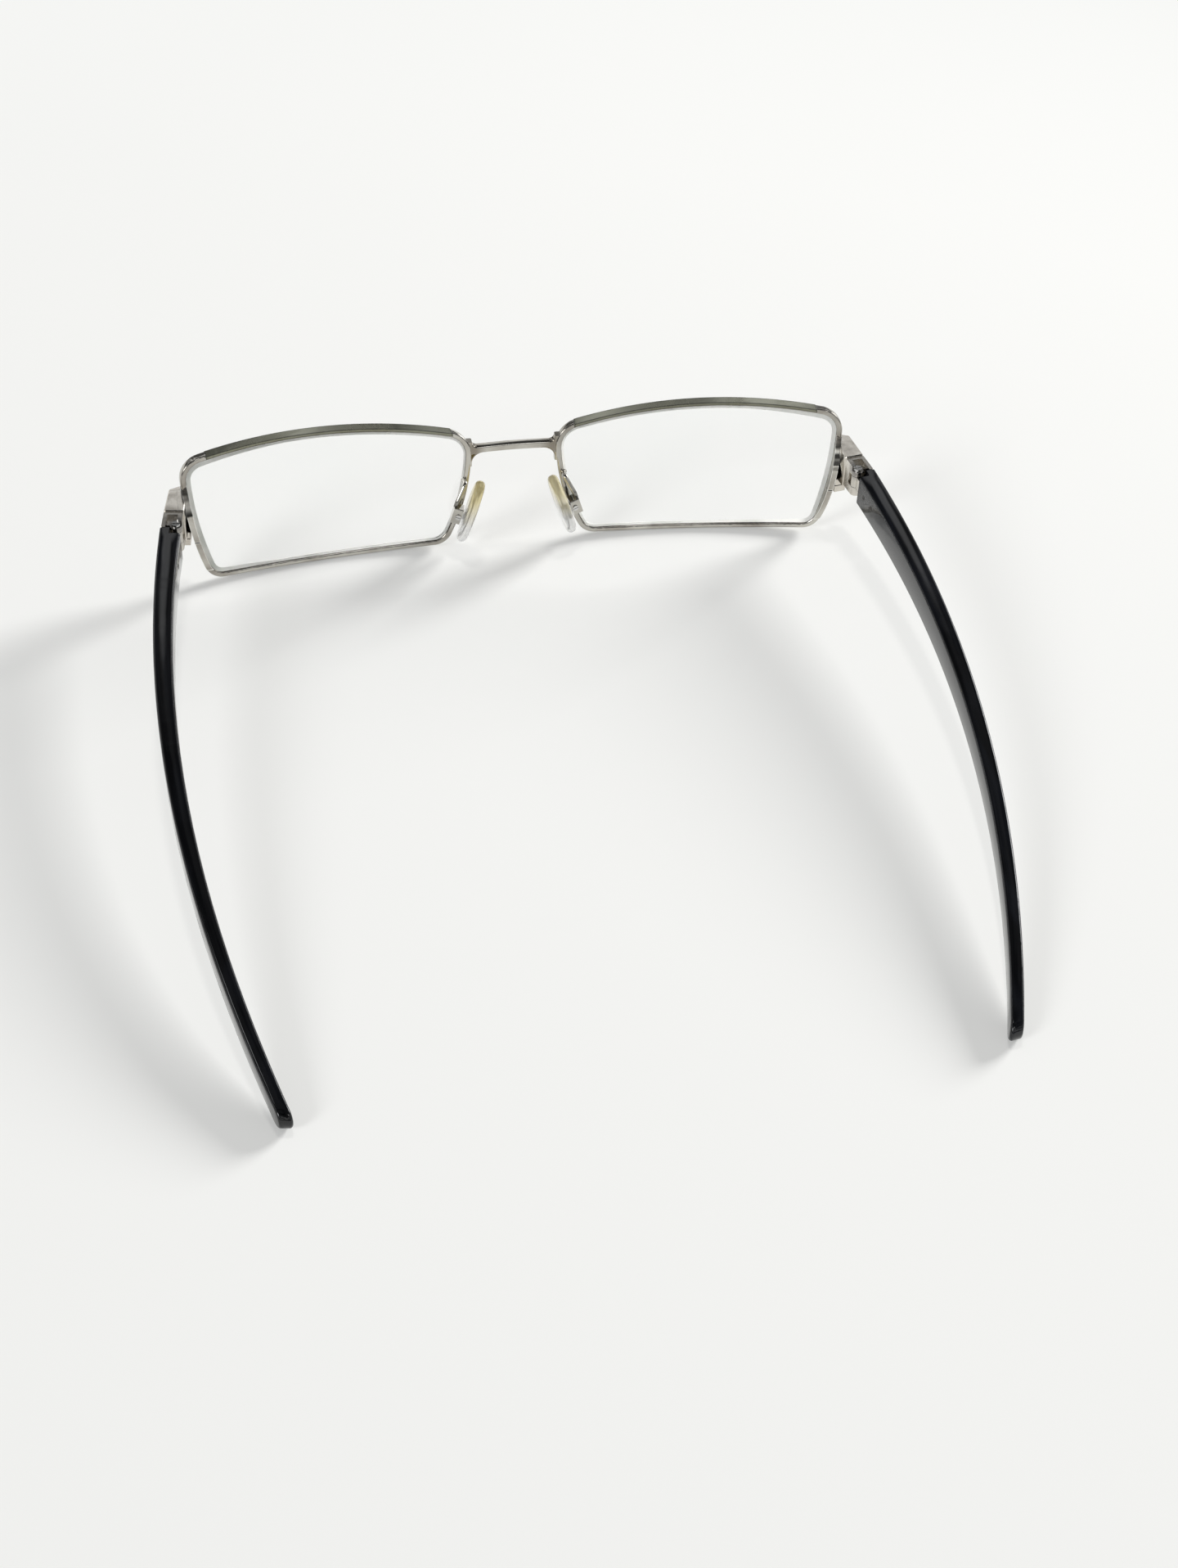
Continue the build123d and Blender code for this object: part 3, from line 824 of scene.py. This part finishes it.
@dataclass
class LensPair(SubAssembly):
    """The two clear lenses and the pale frosted bevel round the back of each, whose white is also a
    painted reflection.

    The bevel is bevel_width wide and widens by bevel_temple towards the temple, between the
    distances bevel_from and bevel_to from the middle of the glasses, all in millimetres.
    """

    place: LensPlace = LensPlace()
    split_angle: float = 25.0
    edge_below: float = 0.75
    corner_angle: float = 50.0
    merge_gap: float = 0.002
    back_gap: float = 0.03
    bevel_width: float = 0.40
    bevel_temple: float = 0.50
    bevel_from: float = 45.0
    bevel_to: float = 62.0
    bevel_lift: float = 0.05
    bevel_thickness: float = 0.03

    def back_corner(self, bm: bmesh.types.BMesh, side: Side,
                    back: float) -> dict[bmesh.types.BMVert, Vector]:
        """Reduce a lens to the edges between its back and its rim.

        Args:
            bm: the lens; only those edges are left in it.
            side: which lens.
            back: the radius of its back, in metres.

        Returns:
            The outward direction at each vertex that is left.
        """
        centre = self.place.centre(side)
        kept = set()
        outward: dict[bmesh.types.BMVert, Vector] = {}
        for edge in bm.edges:
            bend = edge.calc_face_angle(0.0)
            if len(edge.link_faces) != 2 or bend < math.radians(self.corner_angle):
                continue
            if all(abs((v.co - centre).length - back) < self.back_gap * MM for v in edge.verts):
                kept.add(edge)
                facing = self.place.ahead(side)
                wall = min(edge.link_faces, key=lambda f: abs(f.normal.dot(facing)))
                for vert in edge.verts:
                    outward[vert] = outward.get(vert, Vector()) + wall.normal
        bmesh.ops.delete(bm, geom=list(bm.faces), context="FACES_ONLY")
        bmesh.ops.delete(bm, geom=[e for e in bm.edges if e not in kept], context="EDGES")
        bmesh.ops.delete(bm, geom=[v for v in bm.verts if not v.link_edges], context="VERTS")
        return {vert: way.normalized() for vert, way in outward.items() if vert.is_valid}

    def bevel_ring(self, side: Side, frosted_and_sheen: Material) -> Piece:
        """Build the pale frosted bevel along the back edge of a lens, which is also a painted
        reflection.

        Args:
            side: which lens.
            frosted_and_sheen: its finish.

        Returns:
            The new piece.
        """
        centre = self.place.centre(side)
        back = (self.place.radius - self.place.thickness / 2) * MM
        bm = bmesh.new()
        bm.from_mesh(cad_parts[side.prefix + "lens"].data)
        bmesh.ops.remove_doubles(bm, verts=bm.verts, dist=self.merge_gap * MM)
        outward = self.back_corner(bm, side, back)
        made = bmesh.ops.extrude_edge_only(bm, edges=list(bm.edges))["geom"]
        inner = [item for item in made if isinstance(item, bmesh.types.BMVert)]
        for vert in inner:
            source = min(outward, key=lambda v: (v.co - vert.co).length_squared)
            share = (abs(vert.co.x) / MM - self.bevel_from) / (self.bevel_to - self.bevel_from)
            width = self.bevel_width + self.bevel_temple * min(max(share, 0.0), 1.0)
            vert.co = vert.co - outward[source] * width * MM
        for vert in [*inner, *outward]:
            away = vert.co - centre
            vert.co = centre + away.normalized() * (back - self.bevel_lift * MM)
        bmesh.ops.solidify(bm, geom=list(bm.faces), thickness=self.bevel_thickness * MM)
        return finish_mesh(bm, side.prefix + "lens_bevel", frosted_and_sheen, "front")

    def edge_faces(self, piece: Piece, frosted_and_sheen: Material) -> None:
        """Give the frosted edge of a lens its own pale finish, which is also a painted reflection.

        Args:
            piece: the lens.
            frosted_and_sheen: the finish of its edge.
        """
        piece.data.materials.append(frosted_and_sheen)
        fronts = [face for face in piece.data.polygons if face.normal.y < 0.0]
        axis = sum((face.normal * face.area for face in fronts), Vector()).normalized()
        for face in piece.data.polygons:
            if abs(face.normal.dot(axis)) < self.edge_below:
                face.material_index = 1

    def build(self) -> None:
        """Dress the lenses, which cast no shadow, and build their bevels."""
        clear = LensFinish().build()
        # Pale frosted edge: the lens's own frosted white and a painted reflection along the rims.
        frosted_and_sheen = FrostedEdgeAndSheenFinish().build()
        for side in Side:
            piece = dress_node(side.prefix + "lens", clear, self.split_angle)
            piece.visible_shadow = False
            self.edge_faces(piece, frosted_and_sheen)
            ring = self.bevel_ring(side, frosted_and_sheen)
            ring.visible_shadow = False
            self.pieces += [piece, ring]


@dataclass
class SolderJoints(SubAssembly):
    """Small concave collars of solder where the pad arms leave the rims, in millimetres."""

    place: Place = (9.91, -71.10, 14.45)
    wire: float = 0.47
    foot: float = 0.66
    rise: float = 0.90
    steps: int = 6
    turns: int = 28

    def collar(self, side: Side, material: Material) -> Piece:
        """Spin a concave fillet round the arm's axis.

        Args:
            side: which side of the front.
            material: the solder's finish.

        Returns:
            The new piece.
        """
        bm = bmesh.new()
        points = []
        for step in range(self.steps + 1):
            angle = math.pi / 2 * step / self.steps
            radius = self.foot - (self.foot - self.wire) * math.sin(angle)
            points.append(Vector((radius, self.rise * (1.0 - math.cos(angle)), 0.0)) * MM)
        verts = [bm.verts.new(point) for point in points]
        edges = [bm.edges.new(pair) for pair in zip(verts, verts[1:])]
        bmesh.ops.spin(bm, geom=verts + edges, cent=(0.0, 0.0, 0.0), axis=(0.0, 1.0, 0.0),
                       angle=2.0 * math.pi, steps=self.turns, use_merge=True)
        bmesh.ops.holes_fill(bm, edges=[e for e in bm.edges if e.is_boundary], sides=0)
        bmesh.ops.translate(bm, verts=bm.verts, vec=side.mirrored(self.place) * MM)
        return finish_mesh(bm, side.prefix + "pad_arm_solder", material, "front")

    def build(self) -> None:
        """Build the collars."""
        solder = MetalFinish("Plated solder", Plating.GUNMETAL, stain_and_shade_amount=0.6).build()
        self.pieces += [self.collar(side, solder) for side in Side]


@dataclass
class HingeSet(SubAssembly):
    """End pieces, rim locks, hinges and their screws, with the metal darkened round the hinge
    screws.
    """

    screw_spot: Spot = Spot((66.3, -58.4, 18.4), 2.3)

    def build(self) -> None:
        """Dress the hinge blocks, their screws and the rivets."""
        nickel = MetalFinish("Polished nickel", Plating.NICKEL, stain_and_shade=(0.30, 0.24, 0.17),
                             stain_and_shade_amount=0.35)
        # Near-black colour, smudged in lightly and darkening a spot round each hinge screw.
        hinge_nickel = MetalFinish("Hinge nickel", Plating.NICKEL, stain_and_shade=(0.05, 0.05, 0.06),
                            stain_and_shade_amount=0.15, spot=self.screw_spot)
        screws = MetalFinish("Screw steel", Plating.SCREW, wear=0.4)
        blacked = MetalFinish("Blacked rivets", Plating.BLACKED, edge_wear_and_light_colour=(0.20, 0.20, 0.20),
                              wear=0.3)
        self.dress_both(("end_piece", "rim_lock_upper", "rim_lock_lower"), nickel.build())
        self.dress_both(("front_hinge", "temple_hinge"), hinge_nickel.build())
        self.dress_both(("hinge_rivets",), blacked.build())
        self.dress(("hinge_screws", "rim_lock_screws"), screws.build())


@dataclass
class NosePads(SubAssembly):
    """Pad arms, boxes, screws, studs and the silicone pads, with painted shade at the boxes."""

    # A near-black spot of painted shade at each pad box, under the end of the pad arm.
    box_shade_spot: Spot = Spot((11.6, -68.4, 10.9), 1.6)
    pad_split_angle: float = 60.0

    def build(self) -> None:
        """Dress the nose pads and what carries them."""
        # Near-black dirt colour, smudged in lightly and, round the box spot, painted shade.
        plated = MetalFinish("Pad arm plating", Plating.GUNMETAL, stain_and_shade=(0.03, 0.03, 0.03),
                             stain_and_shade_amount=0.15, wear=0.7, spot=self.box_shade_spot)
        steel = MetalFinish("Pad screw steel", Plating.SCREW).build()
        self.dress_both(("pad_arm", "pad_box"), plated.build())
        self.dress_both(("pad_stud",), steel)
        self.dress_both(("nose_pad",), SiliconeFinish().build(), self.pad_split_angle)
        self.dress(("pad_screws",), steel)


@dataclass
class Temples(SubAssembly):
    """The two black temples and the wire inside them."""

    split_angle: float = 40.0

    def build(self) -> None:
        """Dress the temples."""
        self.dress_both(("temple",), AcetateFinish().build(), self.split_angle)
        self.dress_both(("temple_core",), MetalFinish("Core wire", Plating.SCREW).build())


@dataclass(frozen=True)
class SoftLamp:
    """One soft disk lamp that looks at the object: its place and size in metres, power in watts.

    Reflections and glass show the bright patches of the room in its stead.
    """

    name: str
    place: Place
    size: float
    power: float
    colour: Colour = WHITE

    def build(self) -> bpy.types.Object:
        """Add the lamp.

        Returns:
            The lamp's object.
        """
        data = bpy.data.lights.new(self.name, "AREA")
        data.shape = "DISK"
        data.size = self.size
        data.energy = self.power
        data.color = self.colour
        lamp = bpy.data.objects.new(self.name, data)
        lamp.location = self.place
        lamp.rotation_mode = "QUATERNION"
        lamp.rotation_quaternion = (-Vector(self.place)).to_track_quat("-Z", "Y")
        lamp.visible_glossy = False
        lamp.visible_transmission = False
        bpy.context.scene.collection.objects.link(lamp)
        return lamp


@dataclass(frozen=True)
class ViewPoint:
    """The photograph's viewing angle, in millimetres and degrees.

    The focal share is the focal length over the longer side of the frame.
    """

    azimuth: float = 167.9
    elevation: float = 42.6
    roll: float = -2.5
    distance: float = 470.0
    aim: Place = (-9.4, -31.81, -33.6)
    focal_share: float = 2880.0 / 1916.0
    sensor: float = 36.0
    clip: Span = (10.0, 20000.0)

    def build(self) -> bpy.types.Object:
        """Add the camera and make it the scene's own.

        Returns:
            The camera's object.
        """
        az, el, roll = (math.radians(a) for a in (self.azimuth, self.elevation, self.roll))
        back = Vector((math.sin(az) * math.cos(el), -math.cos(az) * math.cos(el), math.sin(el)))
        ahead = -back
        right = ahead.cross(Vector((0.0, 0.0, 1.0))).normalized()
        down = ahead.cross(right)
        turned_right = right * math.cos(roll) + down * math.sin(roll)
        turned_down = down * math.cos(roll) - right * math.sin(roll)
        turn = Matrix((turned_right, -turned_down, back)).transposed()
        data = bpy.data.cameras.new("Photo view")
        data.sensor_width = self.sensor
        data.lens = self.focal_share * self.sensor
        data.clip_start, data.clip_end = (limit * MM for limit in self.clip)
        camera = bpy.data.objects.new("Photo view", data)
        camera.rotation_mode = "QUATERNION"
        camera.rotation_quaternion = turn.to_quaternion()
        camera.location = (Vector(self.aim) + back * self.distance) * MM
        bpy.context.scene.collection.objects.link(camera)
        bpy.context.scene.camera = camera
        return camera


@dataclass(frozen=True)
class BrightPatch:
    """One bright window of the room, as shiny surfaces show it.

    It has its full level within inner degrees of its direction, and ends at outer degrees.
    """

    towards: Place
    level: float
    inner: float
    outer: float


@dataclass
class Studio:
    """Pale table, soft lamps, plain room and camera.

    The room's levels are for reflections; wall_top and ceiling are the height of a direction at
    which the room goes from room_side to room_top, and horizon_from and horizon_to the same for
    the dark band above the table.
    """

    table_size: float = 6.0
    sky: float = 0.21
    sky_tint: Colour = (0.98, 0.99, 1.0)
    backdrop: float = 0.9
    room_side: float = 0.72
    room_top: float = 0.06
    wall_top: float = 0.57
    ceiling: float = 0.62
    horizon: float = 0.10
    horizon_from: float = 0.06
    horizon_to: float = 0.22
    clutter: Span = (0.14, 1.50)
    clutter_shown: Span = (0.42, 0.56)
    clutter_scale: float = 7.0
    lamps: tuple[SoftLamp, ...] = (
        SoftLamp("Far lamp", (-1.95, -1.10, 0.84), 0.85, 92.0, (1.0, 0.990, 0.970)),
        SoftLamp("Near lamp", (1.73, 1.11, 1.19), 0.85, 22.0),
        SoftLamp("High lamp", (-0.10, -0.60, 2.20), 0.30, 8.0, (1.0, 0.98, 0.95)),
    )
    patches: tuple[BrightPatch, ...] = (
        BrightPatch((-0.80, -0.45, 0.36), 7.0, 8.0, 15.0),
        BrightPatch((0.73, 0.47, 0.50), 7.0, 7.0, 14.0),
        BrightPatch((-0.15, 0.60, 0.78), 4.0, 4.0, 9.0),
        BrightPatch((0.35, -0.30, 0.88), 3.0, 4.0, 9.0),
        BrightPatch((0.04, -0.70, 0.72), 0.78, 3.0, 5.2),
        BrightPatch((-0.30, -0.67, 0.69), 0.78, 3.0, 5.2),
        BrightPatch((0.01, -0.76, 0.649), 0.90, 1.5, 2.5),
    )

    def table(self) -> bpy.types.Object:
        """Add the table top.

        Returns:
            The table's object.
        """
        bm = bmesh.new()
        bmesh.ops.create_grid(bm, x_segments=2, y_segments=2, size=self.table_size / 2)
        mesh = bpy.data.meshes.new("Table")
        bm.to_mesh(mesh)
        bm.free()
        mesh.materials.append(TableFinish().build())
        top = bpy.data.objects.new("Table", mesh)
        bpy.context.scene.collection.objects.link(top)
        return top

    def reflected_room(self, g: Graph) -> Socket:
        """Draw what shiny surfaces show: walls, ceiling, dark horizon, clutter and windows.

        Args:
            g: the world's graph.

        Returns:
            The brightness in each direction.
        """
        way = g.add("ShaderNodeTexCoord").outputs["Generated"]
        height = g.add("ShaderNodeSeparateXYZ", {0: way}).outputs["Z"]
        shown = g.ramp(height, self.wall_top, self.ceiling, self.room_side, self.room_top)
        low = g.ramp(height, self.horizon_from, self.horizon_to, self.horizon, 1.0)
        shown = g.math("MULTIPLY", shown, low)
        clutter = g.noise(way, self.clutter_scale, 1.0)
        shown = g.math("MULTIPLY", shown, g.ramp(clutter, *self.clutter_shown, *self.clutter))
        for patch in self.patches:
            aim = Vector(patch.towards).normalized()
            near = g.add("ShaderNodeVectorMath", {0: way, 1: tuple(aim)}, operation="DOT_PRODUCT")
            rim, core = (math.cos(math.radians(angle)) for angle in (patch.outer, patch.inner))
            shown = g.math("ADD", shown, g.ramp(near.outputs["Value"], rim, core, 0.0, patch.level))
        return shown

    def surroundings(self) -> None:
        """Light the object evenly, and give reflections the room and the view a pale backdrop."""
        world = bpy.data.worlds.new("Soft room")
        bpy.context.scene.world = world
        g = Graph.emptied(world)
        shown = self.reflected_room(g)
        path = g.add("ShaderNodeLightPath")
        first = g.math("LESS_THAN", path.outputs["Diffuse Depth"], 0.5)
        shiny = g.math("MULTIPLY", path.outputs["Is Glossy Ray"], first)
        level = g.math("ADD", g.math("MULTIPLY", shown, shiny),
                       g.math("MULTIPLY", g.math("SUBTRACT", 1.0, shiny), self.sky))
        direct = g.math("MAXIMUM", path.outputs["Is Camera Ray"],
                        path.outputs["Is Transmission Ray"])
        direct = g.math("MULTIPLY", direct, first)
        level = g.math("MAXIMUM", level, g.math("MULTIPLY", direct, self.backdrop))
        sky = g.add("ShaderNodeBackground", {"Color": (*self.sky_tint, 1.0), "Strength": level})
        g.add("ShaderNodeOutputWorld", {"Surface": sky.outputs[0]})

    def build(self) -> None:
        """Build the table, the room, the lamps and the camera."""
        self.table()
        self.surroundings()
        for lamp in self.lamps:
            lamp.build()
        ViewPoint().build()
        bpy.context.scene.view_settings.view_transform = "Standard"


def main() -> None:
    """Build every group in order and log its pieces."""
    groups: list[SubAssembly] = [FrontFrame(), LensPair(), SolderJoints(), HingeSet(), NosePads(),
                                 Temples()]
    for group in groups:
        group.build()
        group.report()
    Studio().build()


if __name__ == "__main__":
    main()
